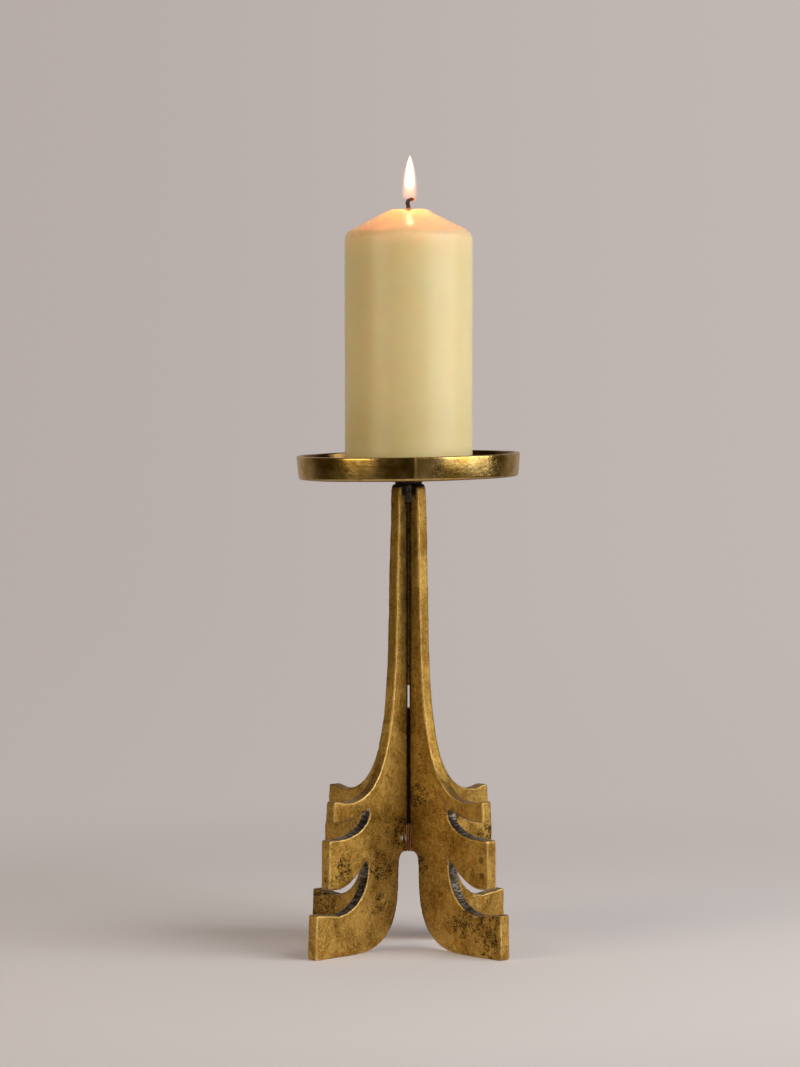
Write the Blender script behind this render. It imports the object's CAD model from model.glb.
"""Looks of the pillar candlestick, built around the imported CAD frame.

Every piece keeps the CAD's place and size. The rough cast legs, the braze and the solder are
remeshed from their CAD nodes and worn; the dish, collar, washer, candle and wick are made here.
The rod keeps its CAD mesh.
"""
import math

import bmesh
import bpy
import numpy as np
from mathutils import Matrix, Vector, noise


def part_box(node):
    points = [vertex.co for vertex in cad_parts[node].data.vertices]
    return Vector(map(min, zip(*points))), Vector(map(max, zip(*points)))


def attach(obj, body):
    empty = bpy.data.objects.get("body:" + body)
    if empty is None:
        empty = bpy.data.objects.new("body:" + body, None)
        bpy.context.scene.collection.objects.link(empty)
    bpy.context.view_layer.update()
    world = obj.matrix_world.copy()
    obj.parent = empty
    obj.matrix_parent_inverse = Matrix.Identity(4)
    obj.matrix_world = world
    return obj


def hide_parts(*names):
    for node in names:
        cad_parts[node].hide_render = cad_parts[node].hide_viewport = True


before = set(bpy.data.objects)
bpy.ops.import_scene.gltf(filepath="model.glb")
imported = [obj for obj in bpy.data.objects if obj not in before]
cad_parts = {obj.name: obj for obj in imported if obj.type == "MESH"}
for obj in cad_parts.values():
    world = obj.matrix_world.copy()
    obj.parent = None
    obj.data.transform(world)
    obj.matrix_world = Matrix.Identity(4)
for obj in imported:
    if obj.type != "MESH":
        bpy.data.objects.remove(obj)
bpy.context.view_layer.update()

MM = 0.001
STAND = "stand"
CANDLE = "candle"


# ---------------------------------------------------------------- mesh helpers

def link(name, mesh):
    obj = bpy.data.objects.new(name, mesh)
    bpy.context.scene.collection.objects.link(obj)
    return obj


def coordinates(mesh):
    flat = np.empty(3 * len(mesh.vertices), np.float32)
    mesh.vertices.foreach_get("co", flat)
    return flat.reshape(-1, 3).astype(float)


def set_coordinates(mesh, points):
    mesh.vertices.foreach_set("co", points.astype(np.float32).ravel())
    mesh.update()


def normals(mesh):
    flat = np.empty(3 * len(mesh.vertices), np.float32)
    mesh.vertex_normals.foreach_get("vector", flat)
    return flat.reshape(-1, 3).astype(float)


def set_attribute(mesh, name, values):
    """Stores one number a vertex, which the materials read by name."""
    layer = mesh.attributes.new(name, "FLOAT", "POINT")
    layer.data.foreach_set("value", np.asarray(values, np.float32))


def neighbour_mean(values, mesh):
    """Mean of each vertex's neighbours, for one row of values a vertex."""
    ends = np.empty(2 * len(mesh.edges), np.int32)
    mesh.edges.foreach_get("vertices", ends)
    here = np.concatenate([ends[0::2], ends[1::2]])
    there = np.concatenate([ends[1::2], ends[0::2]])
    count = len(values)
    degree = np.maximum(np.bincount(here, minlength=count), 1)
    sums = [np.bincount(here, weights=column[there], minlength=count) for column in values.T]
    return np.stack(sums, axis=1) / degree[:, None]


def smoothed(values, mesh, rounds):
    """Values evened out between neighbours, once a round."""
    for _ in range(rounds):
        values = 0.5 * (values + neighbour_mean(values, mesh))
    return values


def convexity(mesh, rounds, full):
    """How far each vertex stands out of its smoothed surroundings, as a share of full."""
    points = coordinates(mesh)
    out = points - smoothed(points, mesh, rounds)
    return np.einsum("ij,ij->i", out, normals(mesh)) / full


def displace(mesh, amounts):
    """Moves each vertex outwards by its own amount in metres."""
    set_coordinates(mesh, coordinates(mesh) + normals(mesh) * amounts[:, None])


def step(values, low, high):
    """Smooth step from 0 at low to 1 at high; low may be the greater."""
    t = np.clip((values - low) / (high - low), 0, 1)
    return t * t * (3 - 2 * t)


def waves(points, size, seed, octaves=3):
    """Smooth noise, about -1 to 1, with features about size across."""
    shift = Vector((17.3, 5.1, 9.7)) * seed
    return np.array([noise.fractal(Vector(p) / size + shift, 0.8, 2.0, octaves) for p in points])


def dimples(points, size, seed):
    """1 at the middle of each round dimple and 0 around it, with dimples about size apart."""
    shift = Vector((7.7, 31.1, 3.9)) * seed
    nearest = np.array([noise.voronoi(Vector(p) / size + shift)[0][0] for p in points])
    return step(nearest, 0.34, 0.08)


def near(points, centre, radius):
    """1 inside the ball around centre, fading to 0 at radius."""
    return step(np.linalg.norm(points - np.array(centre), axis=1), radius, 0.45 * radius)


def remeshed(node_name, piece_name, voxel, rounds, turn=0.0):
    """Even mesh over a CAD node, turned about Z by -turn degrees and with its edges softened."""
    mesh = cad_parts[node_name].data.copy()
    mesh.name = piece_name
    mesh.materials.clear()
    mesh.transform(Matrix.Rotation(math.radians(-turn), 4, "Z"))
    build = bmesh.new()
    build.from_mesh(mesh)
    bmesh.ops.remove_doubles(build, verts=build.verts, dist=1e-6)
    build.to_mesh(mesh)
    build.free()
    obj = link(piece_name, mesh)
    remesh = obj.modifiers.new("Even", "REMESH")
    remesh.mode = "VOXEL"
    remesh.voxel_size = voxel
    depsgraph = bpy.context.evaluated_depsgraph_get()
    obj.data = bpy.data.meshes.new_from_object(obj.evaluated_get(depsgraph))
    obj.data.name = piece_name
    obj.modifiers.clear()
    set_coordinates(obj.data, smoothed(coordinates(obj.data), obj.data, rounds))
    return obj


def rounded_path(corners, steps=5):
    """Closed outline through (radius, height, fillet) corners."""
    points = []
    for i, (x, z, fillet) in enumerate(corners):
        corner = np.array((x, z))
        back = np.array(corners[i - 1][:2]) - corner
        ahead = np.array(corners[(i + 1) % len(corners)][:2]) - corner
        if not fillet:
            points.append(corner)
            continue
        start = corner + back * fillet / np.linalg.norm(back)
        end = corner + ahead * fillet / np.linalg.norm(ahead)
        for t in np.linspace(0, 1, steps):
            points.append((1 - t) ** 2 * start + 2 * t * (1 - t) * corner + t * t * end)
    return np.array(points)


def lathe(name, path, segments, spacing):
    """Closed ring of the closed path of (radius, height) points, with no gap over spacing."""
    rows = []
    for a, b in zip(path, np.roll(path, -1, axis=0)):
        parts = max(1, math.ceil(np.linalg.norm(b - a) / spacing))
        rows += [a + (b - a) * k / parts for k in range(parts)]
    rows = np.array(rows)
    angles = np.linspace(0, 2 * math.pi, segments, endpoint=False)
    radius, height = rows[:, :1], rows[:, 1:]
    grid = np.stack(
        [radius * np.cos(angles), radius * np.sin(angles), height + 0 * angles], axis=-1
    )
    index = np.arange(len(rows) * segments).reshape(len(rows), segments)
    down = np.roll(index, -1, axis=0)
    faces = np.stack([index, np.roll(index, -1, axis=1), np.roll(down, -1, axis=1), down], axis=-1)
    mesh = bpy.data.meshes.new(name)
    mesh.from_pydata(grid.reshape(-1, 3).tolist(), [], faces.reshape(-1, 4).tolist())
    build = bmesh.new()
    build.from_mesh(mesh)
    bmesh.ops.recalc_face_normals(build, faces=build.faces)
    build.to_mesh(mesh)
    build.free()
    return link(name, mesh)


def finished(obj, material, body, slot_name, *cad_nodes):
    """Gives a piece its material, its body, its slot and the CAD nodes that it stands for."""
    obj.data.materials.clear()
    obj.data.materials.append(material)
    obj.data.shade_smooth()
    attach(obj, body)
    if cad_nodes:
        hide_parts(*cad_nodes)
    return obj


# ------------------------------------------------------------ material helpers

class Shader:
    """Builds one node material; sockets are given values or other nodes' outputs."""

    def __init__(self, name):
        self.material = bpy.data.materials.new(name)
        self.material.use_nodes = True
        self.tree = self.material.node_tree
        self.tree.nodes.clear()
        self.place = self.node("TexCoord").outputs["Object"]

    def node(self, kind, inputs=None, **settings):
        made = self.tree.nodes.new("ShaderNode" + kind)
        for key, value in settings.items():
            setattr(made, key, value)
        for socket, value in (inputs or {}).items():
            if isinstance(value, bpy.types.NodeSocket):
                self.tree.links.new(value, made.inputs[socket])
            else:
                made.inputs[socket].default_value = value
        return made

    def attribute(self, name):
        return self.node("Attribute", attribute_name=name).outputs["Fac"]

    def noise(self, size, detail=4.0, rough=0.55, distortion=0.0, stretch=(1, 1, 1)):
        """Noise with features about size metres across, stretched along the axes."""
        scaled = self.node("Mapping", {"Vector": self.place, "Scale": [1 / s for s in stretch]})
        values = {"Vector": scaled.outputs[0], "Scale": 1 / size, "Detail": detail,
                  "Roughness": rough, "Distortion": distortion}
        return self.node("TexNoise", values).outputs["Fac"]

    def range(self, value, low, high, start=0.0, end=1.0):
        """Smooth step from start, where value is low, to end, where it is high."""
        values = {"Value": value, "From Min": low, "From Max": high, "To Min": start, "To Max": end}
        return self.node("MapRange", values, interpolation_type="SMOOTHSTEP").outputs["Result"]

    def math(self, operation, a, b=0.0):
        return self.node("Math", {0: a, 1: b}, operation=operation).outputs[0]

    def plus(self, a, b):
        return self.math("ADD", a, b)

    def minus(self, a, b):
        return self.math("SUBTRACT", a, b)

    def times(self, a, b):
        return self.math("MULTIPLY", a, b)

    def place_parts(self):
        """X, Y and Z in the object's own space."""
        return self.node("SeparateXYZ", {"Vector": self.place}).outputs

    def from_axis(self, x, y):
        """Distance from the object's Z axis."""
        return self.math("SQRT", self.plus(self.math("POWER", x, 2.0), self.math("POWER", y, 2.0)))

    def mix(self, share, a, b):
        return self.node("Mix", {0: share, 6: a, 7: b}, data_type="RGBA").outputs[2]

    def bump(self, height, distance, normal=None):
        values = {"Height": height, "Distance": distance}
        if normal:
            values["Normal"] = normal
        return self.node("Bump", values).outputs["Normal"]

    def surface(self, **inputs):
        """Principled surface; names use _ for a space, such as Base_Color."""
        values = {key.replace("_", " "): value for key, value in inputs.items()}
        shader = self.node("BsdfPrincipled", values)
        self.node("OutputMaterial", {"Surface": shader.outputs[0]})
        return self.material


def colour(red, green, blue):
    return (red, green, blue, 1.0)


# -------------------------------------------------------------------- materials

def cast_brass():
    """Aged cast brass: olive-brown patina worn back to gold, dark pits, red heat stains, soot
    and grey filed slot walls."""
    s = Shader("cast_brass")
    broad = s.noise(14 * MM, 4, 0.6, 0.6)
    speckle = s.noise(0.9 * MM, 4, 0.75)
    fleck = s.noise(2.1 * MM, 6, 0.8, 0.8)
    wear = s.plus(s.times(broad, 0.55), s.times(fleck, 0.45))
    wear = s.plus(wear, s.times(speckle, 0.55))
    base = s.mix(s.range(wear, 0.61, 0.91), colour(0.21, 0.106, 0.013), colour(0.62, 0.39, 0.095))
    rust = s.range(s.noise(5.5 * MM, 7, 0.85, 1.4), 0.52, 0.60)
    base = s.mix(s.times(rust, 0.6), base, colour(0.42, 0.17, 0.026))
    stain = s.range(s.noise(1.1 * MM, 6, 0.85, 1.2), 0.56, 0.61)
    base = s.mix(s.times(stain, 0.55), base, colour(0.10, 0.055, 0.016))
    heat = s.times(s.attribute("heat"), s.range(s.noise(3.5 * MM, 5, 0.7), 0.38, 0.58))
    base = s.mix(heat, base, colour(0.36, 0.135, 0.03))
    base = s.mix(s.times(s.attribute("edge"), 0.85), base, colour(0.90, 0.68, 0.32))
    filed = s.plus(s.times(s.attribute("filed"), 0.3), s.times(speckle, 0.7))
    filed_share = s.range(filed, 0.36, 0.66)
    slot_tone = s.mix(filed_share, colour(0.035, 0.035, 0.033), colour(0.29, 0.29, 0.28))
    base = s.mix(s.times(s.attribute("slot"), 0.9), base, slot_tone)
    base = s.mix(s.attribute("silver"), base, colour(0.66, 0.63, 0.58))
    in_patches = s.range(s.noise(3.4 * MM, 5, 0.75), 0.40, 0.52)
    crowd = s.times(s.attribute("cluster"), in_patches)
    crumbs = s.plus(s.noise(0.95 * MM, 3, 0.6, 1.5), s.times(crowd, 0.17))
    fine_pit = s.range(crumbs, 0.655, 0.685)
    pit = s.math("MAXIMUM", s.attribute("pit"), fine_pit)
    base = s.mix(s.times(pit, 0.95), base, colour(0.028, 0.018, 0.009))
    base = s.mix(s.attribute("dull"), base, colour(0.17, 0.085, 0.010))
    base = s.mix(s.attribute("soot"), base, colour(0.022, 0.017, 0.011))
    rough = s.range(speckle, 0.3, 0.7, 0.31, 0.47)
    rough = s.plus(rough, s.times(pit, 0.3))
    rough = s.minus(rough, s.times(s.attribute("edge"), 0.10))
    scratch = s.range(s.noise(0.7 * MM, 3, 0.6, 0.3, (1, 1, 9)), 0.60, 0.70)
    rough = s.plus(rough, s.times(scratch, 0.08))
    grain = s.bump(s.minus(speckle, scratch), 0.08 * MM)
    skin = s.bump(fleck, 0.24 * MM, grain)
    pitted = s.bump(s.minus(1.0, fine_pit), 0.28 * MM, skin)
    return s.surface(Base_Color=base, Metallic=1.0, Roughness=rough, Normal=pitted)


def dish_brass():
    """Smoother brass of the dish, with dark casting pits, brown bloom and a bright seam."""
    s = Shader("dish_brass")
    broad = s.noise(12 * MM, 5, 0.55, 0.5)
    speckle = s.noise(1.1 * MM, 5, 0.7)
    worn = s.range(s.plus(broad, s.times(speckle, 0.2)), 0.46, 0.74)
    base = s.mix(worn, colour(0.56, 0.34, 0.065), colour(0.76, 0.525, 0.20))
    bloom = s.range(s.noise(2.2 * MM, 7, 0.85, 1.2, (2, 2, 1)), 0.47, 0.60)
    base = s.mix(s.times(bloom, 0.6), base, colour(0.22, 0.11, 0.025))
    base = s.mix(s.times(s.attribute("edge"), 0.5), base, colour(0.80, 0.57, 0.24))
    base = s.mix(s.attribute("pit"), base, colour(0.045, 0.03, 0.012))
    base = s.mix(s.times(s.attribute("seam"), 0.35), base, colour(0.90, 0.66, 0.30))
    base = s.mix(s.times(s.attribute("tarnish"), 0.8), base, colour(0.13, 0.07, 0.03))
    rough = s.range(broad, 0.3, 0.7, 0.17, 0.24)
    rough = s.plus(rough, s.times(s.attribute("pit"), 0.4))
    rough = s.plus(rough, s.times(s.attribute("seam"), 0.2))
    grain = s.bump(s.noise(0.8 * MM, 2, 0.5, 0.0, (4, 4, 1)), 0.005 * MM)
    orange_peel = s.bump(s.noise(1.8 * MM, 3, 0.6, 0.4), 0.035 * MM, grain)
    skin = s.bump(s.noise(7 * MM, 1.5, 0.4), 0.06 * MM, orange_peel)
    return s.surface(Base_Color=base, Metallic=1.0, Roughness=rough, Normal=skin)


def turned_brass():
    """Lathe-turned brass with fine rings and a little tarnish."""
    s = Shader("turned_brass")
    rings = s.noise(0.35 * MM, 3, 0.5, 0.0, (60, 60, 1))
    tarnish = s.range(s.noise(4 * MM, 5, 0.65, 0.4), 0.45, 0.68)
    base = s.mix(tarnish, colour(0.70, 0.48, 0.18), colour(0.30, 0.18, 0.06))
    rough = s.range(rings, 0.3, 0.7, 0.24, 0.42)
    skin = s.bump(rings, 0.03 * MM)
    return s.surface(Base_Color=base, Metallic=1.0, Roughness=rough, Normal=skin)


def dark_brass():
    """Brass blackened by heat and flux, rubbed through in places."""
    s = Shader("dark_brass")
    rub = s.range(s.noise(1.6 * MM, 5, 0.65), 0.57, 0.72)
    base = s.mix(rub, colour(0.03, 0.023, 0.014), colour(0.28, 0.18, 0.07))
    rough = s.range(s.noise(0.8 * MM, 4), 0.3, 0.7, 0.45, 0.7)
    skin = s.bump(s.noise(0.9 * MM, 4, 0.6), 0.1 * MM)
    return s.surface(Base_Color=base, Metallic=0.9, Roughness=rough, Normal=skin)


def braze_metal():
    """Coppery brazing metal with dark flux between its runs and one bright splash."""
    s = Shader("braze")
    patch = s.range(s.noise(2.4 * MM, 5, 0.65, 0.5), 0.4, 0.64)
    base = s.mix(patch, colour(0.40, 0.18, 0.055), colour(0.20, 0.095, 0.035))
    base = s.mix(s.attribute("silver"), base, colour(0.70, 0.66, 0.60))
    base = s.mix(s.attribute("pit"), base, colour(0.03, 0.018, 0.01))
    rough = s.range(s.noise(0.7 * MM, 4), 0.3, 0.7, 0.32, 0.55)
    skin = s.bump(s.noise(0.8 * MM, 4, 0.6), 0.09 * MM)
    return s.surface(Base_Color=base, Metallic=0.95, Roughness=rough, Normal=skin)


def solder_metal():
    """Dull grey solder, caked with soot."""
    s = Shader("solder")
    soot = s.range(s.noise(1.8 * MM, 5, 0.65, 0.4), 0.38, 0.58)
    base = s.mix(soot, colour(0.15, 0.135, 0.12), colour(0.05, 0.042, 0.034))
    rough = s.range(s.noise(0.7 * MM, 4), 0.3, 0.7, 0.42, 0.7)
    skin = s.bump(s.noise(0.8 * MM, 4, 0.6), 0.05 * MM)
    return s.surface(Base_Color=base, Metallic=0.85, Roughness=rough, Normal=skin)


def candle_wax():
    """Cream wax that lets light in, with faint cloudiness and a wetter, molten top. A faint glow
    of its own stands for the flame's light inside it."""
    s = Shader("candle_wax")
    cloud = s.range(s.noise(16 * MM, 4, 0.5), 0.3, 0.7)
    base = s.mix(cloud, colour(0.895, 0.755, 0.41), colour(0.915, 0.78, 0.44))
    base = s.mix(s.attribute("molten"), base, colour(0.90, 0.73, 0.47))
    rough = s.range(s.noise(2.2 * MM, 4, 0.6), 0.3, 0.7, 0.36, 0.46)
    rough = s.minus(rough, s.times(s.attribute("molten"), 0.18))
    skin = s.bump(s.noise(1.4 * MM, 4, 0.6), 0.025 * MM)
    broad = s.bump(s.noise(9 * MM, 2, 0.5), 0.08 * MM, skin)
    glow = s.mix(s.attribute("glow"), colour(0, 0, 0), colour(0.17, 0.068, 0.030))
    return s.surface(
        Base_Color=base, Roughness=rough, Normal=broad, IOR=1.44, Specular_IOR_Level=0.4,
        Emission_Color=glow, Emission_Strength=1.0,
        Coat_Weight=0.28, Coat_Roughness=0.24, Coat_IOR=1.45,
        Subsurface_Weight=1.0, Subsurface_Radius=(1.0, 0.6, 0.28), Subsurface_Scale=10 * MM,
    )


def wick_cord():
    """Braided cotton, waxed brown at its foot, burnt black above, with a glowing tip."""
    s = Shader("wick_cord")
    fibre = s.noise(0.25 * MM, 4, 0.6)
    char = s.attribute("char")
    base = s.mix(char, colour(0.50, 0.30, 0.14), colour(0.02, 0.011, 0.007))
    ember = s.times(s.attribute("ember"), s.range(fibre, 0.35, 0.6, 0.35, 1.0))
    glow = s.mix(ember, colour(0, 0, 0), colour(1.0, 0.14, 0.03))
    rough = s.range(fibre, 0.3, 0.7, 0.6, 0.9)
    return s.surface(
        Base_Color=base, Roughness=rough, Emission_Color=glow, Emission_Strength=3.5,
        Normal=s.bump(fibre, 0.06 * MM),
    )


CAST_BRASS = cast_brass()
DISH_BRASS = dish_brass()
TURNED_BRASS = turned_brass()
DARK_BRASS = dark_brass()
BRAZE = braze_metal()
SOLDER = solder_metal()
WAX = candle_wax()
WICK = wick_cord()


# ------------------------------------------------------------------- cast legs

LEG_VOXEL = 0.4 * MM
HEAD_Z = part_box("leg_front_left")[1].z
ARCH_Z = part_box("arch_braze")[0].z
BRAZE_TOP_Z = 57 * MM
FLARE_Z = 145 * MM
SLOT_LOW_Z = 19 * MM
SLOT_HIGH_Z = 65 * MM
SLOT_TIPS = [(27, 66, 5), (27.5, 44, 5)]

# How far wear may move a leg's surface, in mm
DEEPEST_WEAR = -0.7
PROUDEST_WEAR = 0.35

# Each leg's direction from the axis in degrees, the seed of its noise and, where it isn't the
# usual, how dull the outer face of its stem is. Its worst pitted places, dark round spots and
# bare bright spots, like the slots' tips, are (distance from the axis, height, radius) in mm
LEGS = {
    "leg_front_left": {
        "direction": 225, "seed": 1, "dim_stem": 1,
        "pitted": [(9, 53, 11), (44, 40, 6), (20, 39, 10), (22, 22, 7)],
        "bare": [(28, 63.5, 2.4)],
    },
    "leg_front_right": {
        "direction": 315, "seed": 2, "dim_stem": 0,
        "pitted": [(55, 13, 17), (38, 14, 9), (9, 69, 9), (11, 38, 6)],
        "spotted": [(48.5, 44, 2), (49, 37, 2)],
        "bare": [(28.5, 41.5, 1.6)],
    },
    "leg_back_left": {
        "direction": 135, "seed": 3,
        "pitted": [(56, 16, 18), (34, 44, 9)],
    },
    "leg_back_right": {
        "direction": 45, "seed": 4,
        "pitted": [(50, 45, 10), (30, 60, 6), (12, 50, 9)],
        "bare": [(29, 62, 2)],
    },
}


def in_places(points, places):
    """1 in the middle of each (distance, height, radius) place of a leg, and 0 away from them."""
    flat = points * np.array((1, 0, 1))
    share = np.zeros(len(points))
    for reach, height, radius in places:
        share = np.maximum(share, near(flat, (reach * MM, 0, height * MM), radius * MM))
    return share


def slot_walls(points, on_side):
    """1 on the walls of a leg's two crescent slots, and 0 elsewhere."""
    reach, height = points[:, 0], points[:, 2]
    inner_end = step(reach, 26 * MM, 28 * MM)
    outer_end = step(reach, 50 * MM, 46 * MM)
    above_low = step(height, SLOT_LOW_Z - 2 * MM, SLOT_LOW_Z)
    below_high = step(height, SLOT_HIGH_Z + 2 * MM, SLOT_HIGH_Z)
    return (1 - on_side) * inner_end * outer_end * above_low * below_high


def pit_crowding(points, facing, pitted, seed):
    """How thick a leg's pits lie: crowded in its worst places, and thin over its lower part."""
    ragged = 0.55 * waves(points, 5 * MM, seed + 18, 4)
    patches = step(in_places(points, pitted) + ragged, 0.20, 0.75)
    patches *= step(facing[:, 0], 0.8, 0.5)
    lower = step(points[:, 2], 105 * MM, 70 * MM)
    thin = 0.5 * step(waves(points, 10 * MM, seed, 6), 0.10, 0.7) * (0.3 + 0.7 * lower)
    return np.clip(np.maximum(patches, thin), 0, 1)


def leg_soot(points, on_side, grime, seed):
    """Black in the seam between the legs and on their heads, and smoke on the stem's sides."""
    reach, height = points[:, 0], points[:, 2]
    seam = step(reach + 0.4 * MM * grime, 4.5 * MM, 3.3 * MM)
    seam = seam * step(height, ARCH_Z, ARCH_Z + 14 * MM)
    head = step(height + 3 * MM * grime, HEAD_Z - 6.5 * MM, HEAD_Z - 2.5 * MM)
    head = head * step(reach, 8 * MM, 6.5 * MM)
    crown = step(height + 0.6 * MM * grime, HEAD_Z - 1.8 * MM, HEAD_Z - 0.8 * MM)
    smoke = step(waves(points, 6 * MM, seed + 17, 5), 0.0, 0.4) * step(height, FLARE_Z, HEAD_Z)
    shade = (0.42 + 0.35 * smoke) * step(height, FLARE_Z - 45 * MM, FLARE_Z + 15 * MM)
    shade *= step(reach, 9.5 * MM, 7 * MM) * on_side
    return np.clip(0.9 * seam + 0.95 * head + 0.9 * crown + shade, 0, 1)


def arch_line(mesh, points, facing, grime):
    """Broken dark line beside the inner edge of the arch between the legs."""
    inward = smoothed(step(facing[:, :1], -0.3, -0.8), mesh, 6)[:, 0]
    line = step(inward, 0.02, 0.14) * step(points[:, 0], 20 * MM, 14 * MM)
    line = line * step(points[:, 2], 66 * MM, 55 * MM)
    return line * step(grime, -0.9, -0.1)


def leg_heat(points):
    """Red heat stains around the braze, along the seam above it and at the slots' tips."""
    reach, height = points[:, 0], points[:, 2]
    around_braze = near(points * np.array((1, 0, 1)), (4 * MM, 0, ARCH_Z + 6 * MM), 26 * MM)
    rim = step(reach, 18 * MM, 6 * MM) * step(height, 130 * MM, 80 * MM)
    return np.clip(0.85 * around_braze + 0.6 * rim + 0.7 * in_places(points, SLOT_TIPS), 0, 1)


def worn_leg(name, direction, seed, pitted, spotted=(), bare=(), dim_stem=0.3):
    """One cast blade with wavy faces, pitted patches, dented edges and rough slot walls."""
    obj = remeshed(name, name + "_cast", voxel=LEG_VOXEL, rounds=1, turn=direction)
    mesh = obj.data
    points = coordinates(mesh)
    facing = normals(mesh)
    edge = step(convexity(mesh, 3, 0.085 * MM), 0.45, 0.95)
    on_side = step(np.abs(facing[:, 1]), 0.5, 0.9)
    in_slot = slot_walls(points, on_side)
    cluster = pit_crowding(points, facing, pitted, seed)
    scattered = step(waves(points, 4 * MM, seed + 8, 2), 0.0, 0.3)
    pit = dimples(points, 2.2 * MM, seed) * scattered * cluster

    free = step(points[:, 0], 4.2 * MM, 7 * MM)
    wavy = 0.20 * waves(points, 24 * MM, seed + 11, 2) + 0.045 * waves(points, 6 * MM, seed + 12, 3)
    dents = edge * np.clip(waves(points, 4.5 * MM, seed + 13, 2) - 0.12, 0, 1)
    filed = waves(points * np.array((1, 0.25, 1)), 1.0 * MM, seed + 14, 2)
    rough_cut = in_slot * filed
    amount = wavy - 0.26 * pit - 0.30 * dents + 0.20 * rough_cut
    displace(mesh, np.clip(amount, DEEPEST_WEAR, PROUDEST_WEAR) * free * MM)

    grime = waves(points, 3.0 * MM, seed + 15, 3)
    spots = 0.6 * in_places(points, spotted) * step(facing[:, 1], 0, -0.9)
    dark = np.maximum(spots, 0.8 * arch_line(mesh, points, facing, grime))
    rubbed = np.clip(0.7 + 0.6 * waves(points, 7 * MM, seed + 16, 2), 0, 1)
    stem = 0.45 * (facing[:, 0] > 0.5) * step(points[:, 2], FLARE_Z - 40 * MM, FLARE_Z)
    marks = {
        "edge": edge * rubbed * free,
        "pit": np.maximum(0.8 * pit, dark),
        "cluster": cluster,
        "slot": in_slot,
        "filed": step(filed, -0.5, 0.6),
        "silver": 0.8 * in_places(points, bare) * step(grime, -0.3, 0.3),
        "heat": leg_heat(points),
        "soot": leg_soot(points, on_side, grime, seed),
        "dull": stem * dim_stem,
    }
    for mark, values in marks.items():
        set_attribute(mesh, mark, values)
    mesh.transform(Matrix.Rotation(math.radians(direction), 4, "Z"))
    return finished(obj, CAST_BRASS, STAND, "cast_brass", name)


for leg_name, facts in LEGS.items():
    worn_leg(leg_name, **facts)


# -------------------------------------------------------------- braze and solder

SPLASH = Vector((-3.35, -7.1, 50.3)) * MM
SPLASH_R = 1.1 * MM
RUN_WIDTH = 1.15 * MM


def braze_runs():
    """Braze in the crown of the arch, with its vertical runs and a splash on the left leg."""
    obj = remeshed("arch_braze", "arch_braze_runs", voxel=0.3 * MM, rounds=3)
    mesh = obj.data
    build = bmesh.new()
    build.from_mesh(mesh)
    place = Matrix.Translation(SPLASH) @ Matrix.Rotation(math.radians(-45), 4, "Z")
    squat = Matrix.Diagonal((1.0, 0.55, 1.25, 1.0))
    bmesh.ops.create_icosphere(build, subdivisions=3, radius=SPLASH_R, matrix=place @ squat)
    build.to_mesh(mesh)
    build.free()
    points = coordinates(mesh)
    side = np.where(np.abs(points[:, 0]) < np.abs(points[:, 1]), points[:, 0], points[:, 1])
    wander = 0.3 * waves(points, 5 * MM, 31, 2)
    runs = np.cos(2 * math.pi * (side / RUN_WIDTH + wander))
    low = step(points[:, 2], BRAZE_TOP_Z + 1 * MM, BRAZE_TOP_Z - 2 * MM)
    outer = step(np.hypot(points[:, 0], points[:, 1]), 4.5 * MM, 6 * MM)
    lumps = waves(points, 1.6 * MM, 32, 2)
    splash = near(points, SPLASH, 3 * MM)
    set_attribute(mesh, "silver", splash)
    set_attribute(mesh, "pit", np.maximum(step(runs, -0.35, -0.9), 1 - low) * (1 - splash))
    displace(mesh, ((0.26 * runs * low * outer - 0.15) * (1 - splash) + 0.16 * lumps) * MM)
    return finished(obj, BRAZE, STAND, "braze", "arch_braze")


def solder_cake():
    """Lumpy solder in the grooves between the blades' heads."""
    obj = remeshed("head_solder", "head_solder_cake", voxel=0.3 * MM, rounds=3)
    points = coordinates(obj.data)
    displace(obj.data, (0.22 * waves(points, 3.1 * MM, 45, 3) - 0.12) * MM)
    return finished(obj, SOLDER, STAND, "solder", "head_solder")


braze_runs()
solder_cake()


# ------------------------------------------------- dish, with its collar and washer

DISH_LEAN = math.radians(1.02)
DISH_T = 2 * MM
DISH_H = 10.8 * MM
BASE_R = 49.8 * MM
BELLY_R = 50.45 * MM
RIM_R = 50.75 * MM
HOLE_R = 3.0 * MM
WASHER_T = 0.8 * MM
WASHER_R = 6.75 * MM
COLLAR_R = 6.2 * MM
COLLAR_H = 2.1 * MM
DISH_Z = HEAD_Z + COLLAR_H + WASHER_T
ON_LEAN = Matrix.Translation((0, 0, DISH_Z)) @ Matrix.Rotation(-DISH_LEAN, 4, "Y")
SEAM_ANGLE = math.radians(-86.8)
PITTED_ANGLE = math.radians(-42)


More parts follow.
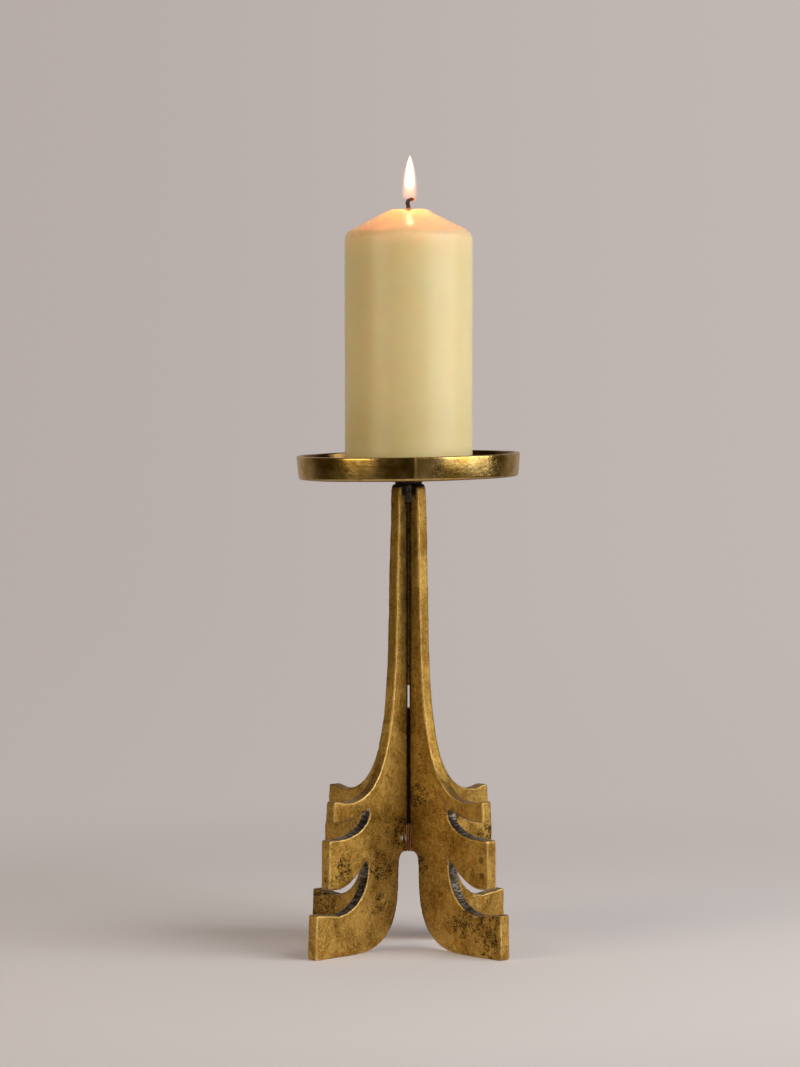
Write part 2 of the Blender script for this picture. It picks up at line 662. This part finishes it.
def drip_dish():
    """Cast dish with a casting seam at its front, pits and a rim that isn't quite even."""
    corners = [
        (HOLE_R, 0, 0),
        (BASE_R, 0, 1.4 * MM),
        (BELLY_R, 0.5 * DISH_H, 4 * MM),
        (RIM_R, DISH_H, 0.7 * MM),
        (RIM_R - DISH_T, DISH_H, 0.7 * MM),
        (BASE_R - DISH_T, DISH_T, 1.6 * MM),
        (HOLE_R, DISH_T, 0),
    ]
    obj = lathe("drip_dish_cast", rounded_path(corners), segments=500, spacing=0.66 * MM)
    mesh = obj.data
    points = coordinates(mesh)
    facing = normals(mesh)
    around = np.arctan2(points[:, 1], points[:, 0])
    radius = np.hypot(points[:, 0], points[:, 1])
    outward = (points[:, 0] * facing[:, 0] + points[:, 1] * facing[:, 1]) / radius
    wall = step(radius, BASE_R - 3 * MM, BASE_R - 1 * MM)

    from_seam = (around - SEAM_ANGLE) * BASE_R
    seam = np.exp(-((from_seam / (0.35 * MM)) ** 2)) * step(outward, 0.3, 0.8)
    pitted = step(np.abs(around - PITTED_ANGLE), 0.20, 0.08)
    scattered = step(waves(points, 9 * MM, 51, 2), 0.70, 0.90)
    pit = dimples(points, 1.5 * MM, 52) * np.clip(0.8 * pitted + 0.7 * scattered, 0, 1) * wall
    wavy = 0.10 * waves(points, 26 * MM, 53, 2) + 0.012 * waves(points, 8 * MM, 54, 1)
    displace(mesh, (wavy * wall - 0.12 * pit + 0.16 * seam) * MM)

    moved = coordinates(mesh)
    lift = 0.16 * MM * waves(points * np.array((1, 1, 0)), 30 * MM, 55, 2)
    moved[:, 2] += lift * step(moved[:, 2], DISH_H - 4 * MM, DISH_H)
    set_coordinates(mesh, moved)
    edge = np.clip(convexity(mesh, 10, 0.3 * MM), 0, 1)
    inside = step(outward, 0.1, -0.5) * step(radius, BASE_R - 4 * MM, BASE_R - 2.5 * MM)
    set_attribute(mesh, "edge", edge * (0.6 + 0.4 * waves(points, 8 * MM, 56, 2)))
    set_attribute(mesh, "pit", np.clip(pit, 0, 1))
    set_attribute(mesh, "tarnish", np.maximum(inside, step(facing[:, 2], -0.25, -0.7)))
    beside = step(from_seam, -0.2 * MM, 0.3 * MM) * step(from_seam, 14 * MM, 3 * MM)
    set_attribute(mesh, "seam", np.clip(seam + 0.6 * beside * step(outward, 0.3, 0.8), 0, 1))
    mesh.transform(ON_LEAN)
    return finished(obj, DISH_BRASS, STAND, "dish_brass", "drip_dish")


def neck_washer():
    """Thin washer that leans with the dish."""
    corners = [
        (HOLE_R, -WASHER_T, 0.1 * MM), (WASHER_R, -WASHER_T, 0.25 * MM),
        (WASHER_R, 0, 0.25 * MM), (HOLE_R, 0, 0.1 * MM),
    ]
    obj = lathe("neck_washer_ring", rounded_path(corners), segments=192, spacing=0.25 * MM)
    displace(obj.data, 0.04 * MM * waves(coordinates(obj.data), 3 * MM, 61, 2))
    obj.data.transform(ON_LEAN)
    return finished(obj, TURNED_BRASS, STAND, "turned_brass", "neck_washer")


def neck_collar():
    """Dark collar, its top cut to the dish's lean."""
    corners = [
        (HOLE_R, 0, 0.1 * MM), (COLLAR_R, 0, 0.4 * MM),
        (COLLAR_R, COLLAR_H, 0.3 * MM), (HOLE_R, COLLAR_H, 0.1 * MM),
    ]
    obj = lathe("neck_collar_ring", rounded_path(corners), segments=192, spacing=0.25 * MM)
    points = coordinates(obj.data)
    displace(obj.data, (0.12 * waves(points, 2.2 * MM, 62, 3) - 0.05) * MM)
    points = coordinates(obj.data)
    slope = points[:, 0] * math.tan(DISH_LEAN)
    points[:, 2] += HEAD_Z + slope * step(points[:, 2], 0, COLLAR_H)
    set_coordinates(obj.data, points)
    return finished(obj, DARK_BRASS, STAND, "dark_brass", "neck_collar")


drip_dish()
neck_washer()
neck_collar()
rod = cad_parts["pricket_rod"]
rod.data.materials.clear()
rod.data.materials.append(TURNED_BRASS)


# --------------------------------------------------------------- candle and wick

CANDLE_LOW, CANDLE_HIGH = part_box("candle")
CANDLE_R = CANDLE_HIGH.x
CANDLE_Z = CANDLE_LOW.z
TOP_Z = CANDLE_HIGH.z
CONE_H = 10.2 * MM
CONE_Z = TOP_Z - CONE_H
PLATEAU_R = 7.65 * MM
LIP_W = 2.6 * MM
LIP_DIP = 0.8 * MM
POOL_DEPTH = 0.5 * MM
SPIKE_TOP_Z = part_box("pricket_rod")[1].z
SPIKE_HOLE_R = 3.25 * MM
WICK_R = 0.95 * MM
STRAND_R = 0.66 * MM
STRAND_OFFSET = 0.36 * MM
STRAND_TURN = 4.2 * MM
EMBER_LENGTH = 0.9 * MM
THINNED_LENGTH = 4 * MM


def pillar_candle():
    """Pillar burnt down to a low cone, its top soft from melting."""
    hole_taper_z = SPIKE_TOP_Z - 22 * MM
    corners = [
        (SPIKE_HOLE_R, CANDLE_Z, 0.1 * MM),
        (CANDLE_R, CANDLE_Z, 0.9 * MM),
        (CANDLE_R, CONE_Z - 0.5 * MM, 3.4 * MM),
        (PLATEAU_R, TOP_Z, 0.9 * MM),
        (PLATEAU_R - LIP_W, TOP_Z - POOL_DEPTH, 1.2 * MM),
        (WICK_R, TOP_Z - POOL_DEPTH, 0),
        (WICK_R, SPIKE_TOP_Z + 1 * MM, 0),
        (SPIKE_HOLE_R, hole_taper_z, 0),
    ]
    path = rounded_path(corners, steps=7)
    obj = lathe("candle_pillar", path, segments=300, spacing=1.05 * MM)
    mesh = obj.data
    points = coordinates(mesh)
    radius = np.hypot(points[:, 0], points[:, 1])
    outer = step(radius, 0.1 * CANDLE_R, 0.2 * CANDLE_R)
    molten = step(points[:, 2], CONE_Z - 7.5 * MM, CONE_Z + 1 * MM)
    side = 0.10 * waves(points, 34 * MM, 71, 2) + 0.02 * waves(points, 6 * MM, 72, 2)
    runny = 0.22 * waves(points, 9 * MM, 73, 2)
    displace(mesh, (side + runny * molten) * outer * MM)
    points = coordinates(mesh)
    worn_through = np.exp(-((points[:, 0] / (1.9 * MM)) ** 2)) * step(points[:, 1], 3 * MM, -1 * MM)
    points[:, 2] -= LIP_DIP * worn_through * step(points[:, 2], TOP_Z - 2.4 * MM, TOP_Z - 0.7 * MM)
    set_coordinates(mesh, points)
    set_attribute(mesh, "molten", molten)
    lit_through = 0.3 * step(points[:, 2], CONE_Z - 22 * MM, CONE_Z) ** 2 + 0.35 * molten
    thin_wall = near(points, (-1 * MM, -CANDLE_R + 2 * MM, CONE_Z + 1 * MM), 17 * MM) * molten
    set_attribute(mesh, "glow", np.clip(lit_through + 0.75 * thin_wall, 0, 1))
    return finished(obj, WAX, CANDLE, "wax", "candle")


def wick_sway(z):
    """The wick leans a little to the left above the wax before it bends to the right."""
    share = max(0.0, min(1.0, (z - TOP_Z + 0.5 * MM) / (4.5 * MM)))
    return (0.25 - 0.75 * math.sin(0.5 * math.pi * share)) * MM * min(1.0, 6 * share)


def wick_path():
    """Points up the wick's middle, through its bend to the tip."""
    bend_r = 1.9 * MM
    bend_z = TOP_Z + 2.6 * MM
    bend_end = math.radians(108)
    path = [Vector((0, 0, z)) for z in np.linspace(SPIKE_TOP_Z + 1.5 * MM, bend_z, 150)[:-1]]
    for a in np.linspace(0, bend_end, 16):
        path.append(Vector((bend_r * (1 - math.cos(a)), 0, bend_z + bend_r * math.sin(a))))
    ahead = Vector((math.sin(bend_end), 0, math.cos(bend_end)))
    corner = path[-1]
    path += [corner + ahead * length * MM for length in np.linspace(0.2, 0.9, 4)]
    return [p + Vector((wick_sway(p.z), 0, 0)) for p in path]


def braided_wick():
    """Three strands twisted around the wick's path, burnt thinner towards the tip."""
    path = wick_path()
    sides = 10
    verts, faces, chars, embers = [], [], [], []
    lengths = np.concatenate([[0], np.cumsum([(b - a).length for a, b in zip(path, path[1:])])])
    for strand in range(3):
        first = len(verts)
        for i, centre in enumerate(path):
            ahead = (path[min(i + 1, len(path) - 1)] - path[max(i - 1, 0)]).normalized()
            across = Vector((0, 1, 0))
            out = across.cross(ahead).normalized()
            left = lengths[-1] - lengths[i]
            thin = 0.6 + 0.4 * min(1.0, left / THINNED_LENGTH)
            swirl = 2 * math.pi * (strand / 3 + lengths[i] / STRAND_TURN)
            swing = out * math.cos(swirl) + across * math.sin(swirl)
            middle = centre + swing * STRAND_OFFSET * thin
            for k in range(sides):
                a = 2 * math.pi * k / sides
                fray = 1 + 0.16 * noise.noise(Vector((k * 1.7, strand * 9, i * 0.7)))
                ring = (out * math.cos(a) + across * math.sin(a)) * STRAND_R * thin * fray
                verts.append(middle + ring)
                chars.append(1.0 if centre.z > TOP_Z + 0.2 * MM else 0.0)
                embers.append(max(0.0, 1 - left / EMBER_LENGTH))
        for i in range(len(path) - 1):
            for k in range(sides):
                a, b = first + i * sides + k, first + i * sides + (k + 1) % sides
                faces.append((a, b, b + sides, a + sides))
        faces.append(tuple(reversed(range(first, first + sides))))
        faces.append(tuple(range(len(verts) - sides, len(verts))))
    mesh = bpy.data.meshes.new("wick_braid")
    mesh.from_pydata(verts, [], faces)
    set_attribute(mesh, "char", chars)
    set_attribute(mesh, "ember", embers)
    return finished(link("wick_braid", mesh), WICK, CANDLE, "wick", "wick")


pillar_candle()
braided_wick()


# ---------------------------------------------------------------- flame and stage

FLAME_LOW_Z = TOP_Z + 4.6 * MM
FLAME_H = 19.9 * MM
FLAME_R = 3.0 * MM
FLAME_WAIST = 0.2
FLAME_TAPER = 0.8
FLAME_CORE = 1500.0
FLAME_FRINGE = 150.0
GLOW_REACH = 1.35
NEAR_AXIS = 0.01 * MM


def flame_width(t):
    """Half width of the flame at share t of its height, as a share of the widest."""
    return (1 - (max(0, t - FLAME_WAIST) / (1 - FLAME_WAIST)) ** 2) ** FLAME_TAPER


def flame():
    """Candle flame: glowing gas, white inside, orange at its thin edge and faint below."""
    rows = [
        (max(GLOW_REACH * flame_width(t) * FLAME_R, NEAR_AXIS), t * FLAME_H)
        for t in np.linspace(0, 1, 60)
    ]
    axis = [(NEAR_AXIS, FLAME_H), (NEAR_AXIS, 0)]
    obj = lathe("flame", np.array(rows + axis), segments=48, spacing=2 * FLAME_H)
    s = Shader("flame")
    x, y, z = s.place_parts()
    reach = s.from_axis(x, y)
    height = s.math("DIVIDE", z, FLAME_H)
    above = s.math("DIVIDE", s.minus(height, FLAME_WAIST), 1 - FLAME_WAIST)
    above = s.math("MAXIMUM", above, 0.0)
    width = s.math("POWER", s.minus(1.0, s.math("POWER", above, 2.0)), FLAME_TAPER)
    share = s.math("DIVIDE", s.math("DIVIDE", reach, FLAME_R), s.math("MAXIMUM", width, 0.05))
    low = s.range(height, 0.05, 0.45)
    core = s.times(s.range(share, 1.0, 0.45), low)
    tint = s.mix(core, colour(1.0, 0.33, 0.10), colour(1.0, 0.84, 0.58))
    bright = s.times(s.range(share, 1.0, 0.5), s.math("POWER", low, 3.0))
    fringe = s.times(s.range(share, GLOW_REACH, 0.7), s.range(height, 0.0, 0.12, 0.3, 1.0))
    strength = s.plus(s.times(bright, FLAME_CORE), s.times(fringe, FLAME_FRINGE))
    glow = s.node("Emission", {"Color": tint, "Strength": strength})
    s.node("OutputMaterial", {"Volume": glow.outputs[0]})
    obj.data.materials.append(s.material)
    obj.location = (0.4 * MM, 0, FLAME_LOW_Z)
    obj.rotation_euler = (0, math.radians(0.6), 0)
    obj.visible_shadow = False
    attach(obj, CANDLE)


def light(name, kind, place, power, tint, **settings):
    """Light that the camera doesn't see."""
    data = bpy.data.lights.new(name, kind)
    data.energy = power
    data.color = tint
    for key, value in settings.items():
        setattr(data, key, value)
    obj = link(name, data)
    obj.location = place
    obj.visible_camera = False
    return obj


def softbox(name, azimuth, distance, height, size, power, tint, aim=(0, 0, 0.2)):
    """Upright softbox at azimuth degrees to the right of the camera's side, aimed at the object."""
    a = math.radians(azimuth)
    place = Vector((distance * math.sin(a), -distance * math.cos(a), height))
    obj = light(name, "AREA", place, power, tint, shape="RECTANGLE", size=size[0], size_y=size[1])
    obj.rotation_mode = "QUATERNION"
    obj.rotation_quaternion = (Vector(aim) - place).to_track_quat("-Z", "Y")
    return obj


flame()
flame_light = light(
    "flame_light", "POINT", place=(0.3 * MM, 0, FLAME_LOW_Z + 16 * MM), power=0.080,
    tint=(1.0, 0.34, 0.085), shadow_soft_size=3 * MM,
)
flame_light.visible_glossy = False
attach(flame_light, CANDLE)
softbox(
    "key_right", azimuth=63, distance=1.15, height=0.58, size=(1.3, 1.1), power=15,
    tint=(1.0, 0.985, 0.95),
)
softbox(
    "fill_left", azimuth=-53, distance=1.3, height=0.46, size=(0.72, 0.8), power=6,
    tint=(1.0, 0.85, 0.62),
)


PAPER_R = 0.15
EVEN_R = 0.55
FLOOR_MIDDLE_R = 0.2
FLOOR_R = 0.45
WALL_R = 2.7
WALL_H = 2.2
CURVE_R = 0.7


def backdrop_material():
    """Plain pale paper near the object, and an evenly lit pale sweep further out."""
    s = Shader("backdrop_paper")
    x, y, _ = s.place_parts()
    reach = s.from_axis(x, y)
    white = s.node("BsdfDiffuse", {"Color": colour(0.90, 0.87, 0.90)})
    lift = s.node("Emission", {"Color": colour(0.118, 0.106, 0.108), "Strength": 1.0})
    paper = s.node("AddShader", {0: white.outputs[0], 1: lift.outputs[0]})
    side = s.range(x, -0.5, 0.5)
    tint = s.mix(side, colour(0.475, 0.415, 0.395), colour(0.53, 0.475, 0.45))
    even = s.node("Emission", {"Color": tint, "Strength": 1.0})
    far = s.range(reach, PAPER_R, EVEN_R)
    both = s.node("MixShader", {0: far, 1: paper.outputs[0], 2: even.outputs[0]})
    s.node("OutputMaterial", {"Surface": both.outputs[0]})
    return s.material


def stage_ring(name, path, material):
    """Open surface of revolution of (radius, height) points."""
    segments = 128
    angles = np.linspace(0, 2 * math.pi, segments, endpoint=False)
    verts = [(r * math.cos(a), r * math.sin(a), z) for r, z in path for a in angles]
    faces = []
    for row in range(len(path) - 1):
        for k in range(segments):
            a, b = row * segments + k, row * segments + (k + 1) % segments
            faces.append((a, b, b + segments, a + segments))
    mesh = bpy.data.meshes.new(name)
    mesh.from_pydata(verts, [], faces)
    mesh.materials.append(material)
    mesh.shade_smooth()
    obj = link(name, mesh)
    return obj


paper = backdrop_material()
stage_ring("floor", [(0.1 * NEAR_AXIS, 0), (FLOOR_MIDDLE_R, 0), (FLOOR_R, 0)], paper)
sweep = [
    (WALL_R - CURVE_R + CURVE_R * math.sin(a), CURVE_R - CURVE_R * math.cos(a))
    for a in np.linspace(0, math.pi / 2, 24)
]
wall = stage_ring("backdrop", [(FLOOR_R, 0)] + sweep + [(WALL_R, WALL_H)], paper)
wall.visible_glossy = False
wall.visible_diffuse = False
wall.visible_shadow = False


def studio_world():
    """Soft room light: dim behind the camera and paler from the wall side."""
    world = bpy.data.worlds.new("studio")
    world.use_nodes = True
    tree = world.node_tree
    tree.nodes.clear()
    place = tree.nodes.new("ShaderNodeTexCoord")
    parts = tree.nodes.new("ShaderNodeSeparateXYZ")
    tree.links.new(place.outputs["Generated"], parts.inputs[0])
    spread = tree.nodes.new("ShaderNodeMapRange")
    spread.interpolation_type = "SMOOTHSTEP"
    spread.inputs["From Min"].default_value = 0.2
    spread.inputs["From Max"].default_value = 1.0
    tree.links.new(parts.outputs[1], spread.inputs["Value"])
    mixed = tree.nodes.new("ShaderNodeMix")
    mixed.data_type = "RGBA"
    tree.links.new(spread.outputs[0], mixed.inputs[0])
    mixed.inputs[6].default_value = colour(0.034, 0.026, 0.011)
    mixed.inputs[7].default_value = colour(0.42, 0.36, 0.32)
    glow = tree.nodes.new("ShaderNodeBackground")
    tree.links.new(mixed.outputs[2], glow.inputs["Color"])
    out = tree.nodes.new("ShaderNodeOutputWorld")
    tree.links.new(glow.outputs[0], out.inputs["Surface"])
    bpy.context.scene.world = world


studio_world()
bpy.context.scene.view_settings.view_transform = "Standard"

camera_data = bpy.data.cameras.new("camera")
camera_data.lens = 126.35
camera_data.sensor_width = 36
camera = link("camera", camera_data)
camera.location = (-0.0039, -1.7006, 0.2776)
camera.rotation_euler = (math.radians(87), 0, 0)
bpy.context.scene.camera = camera
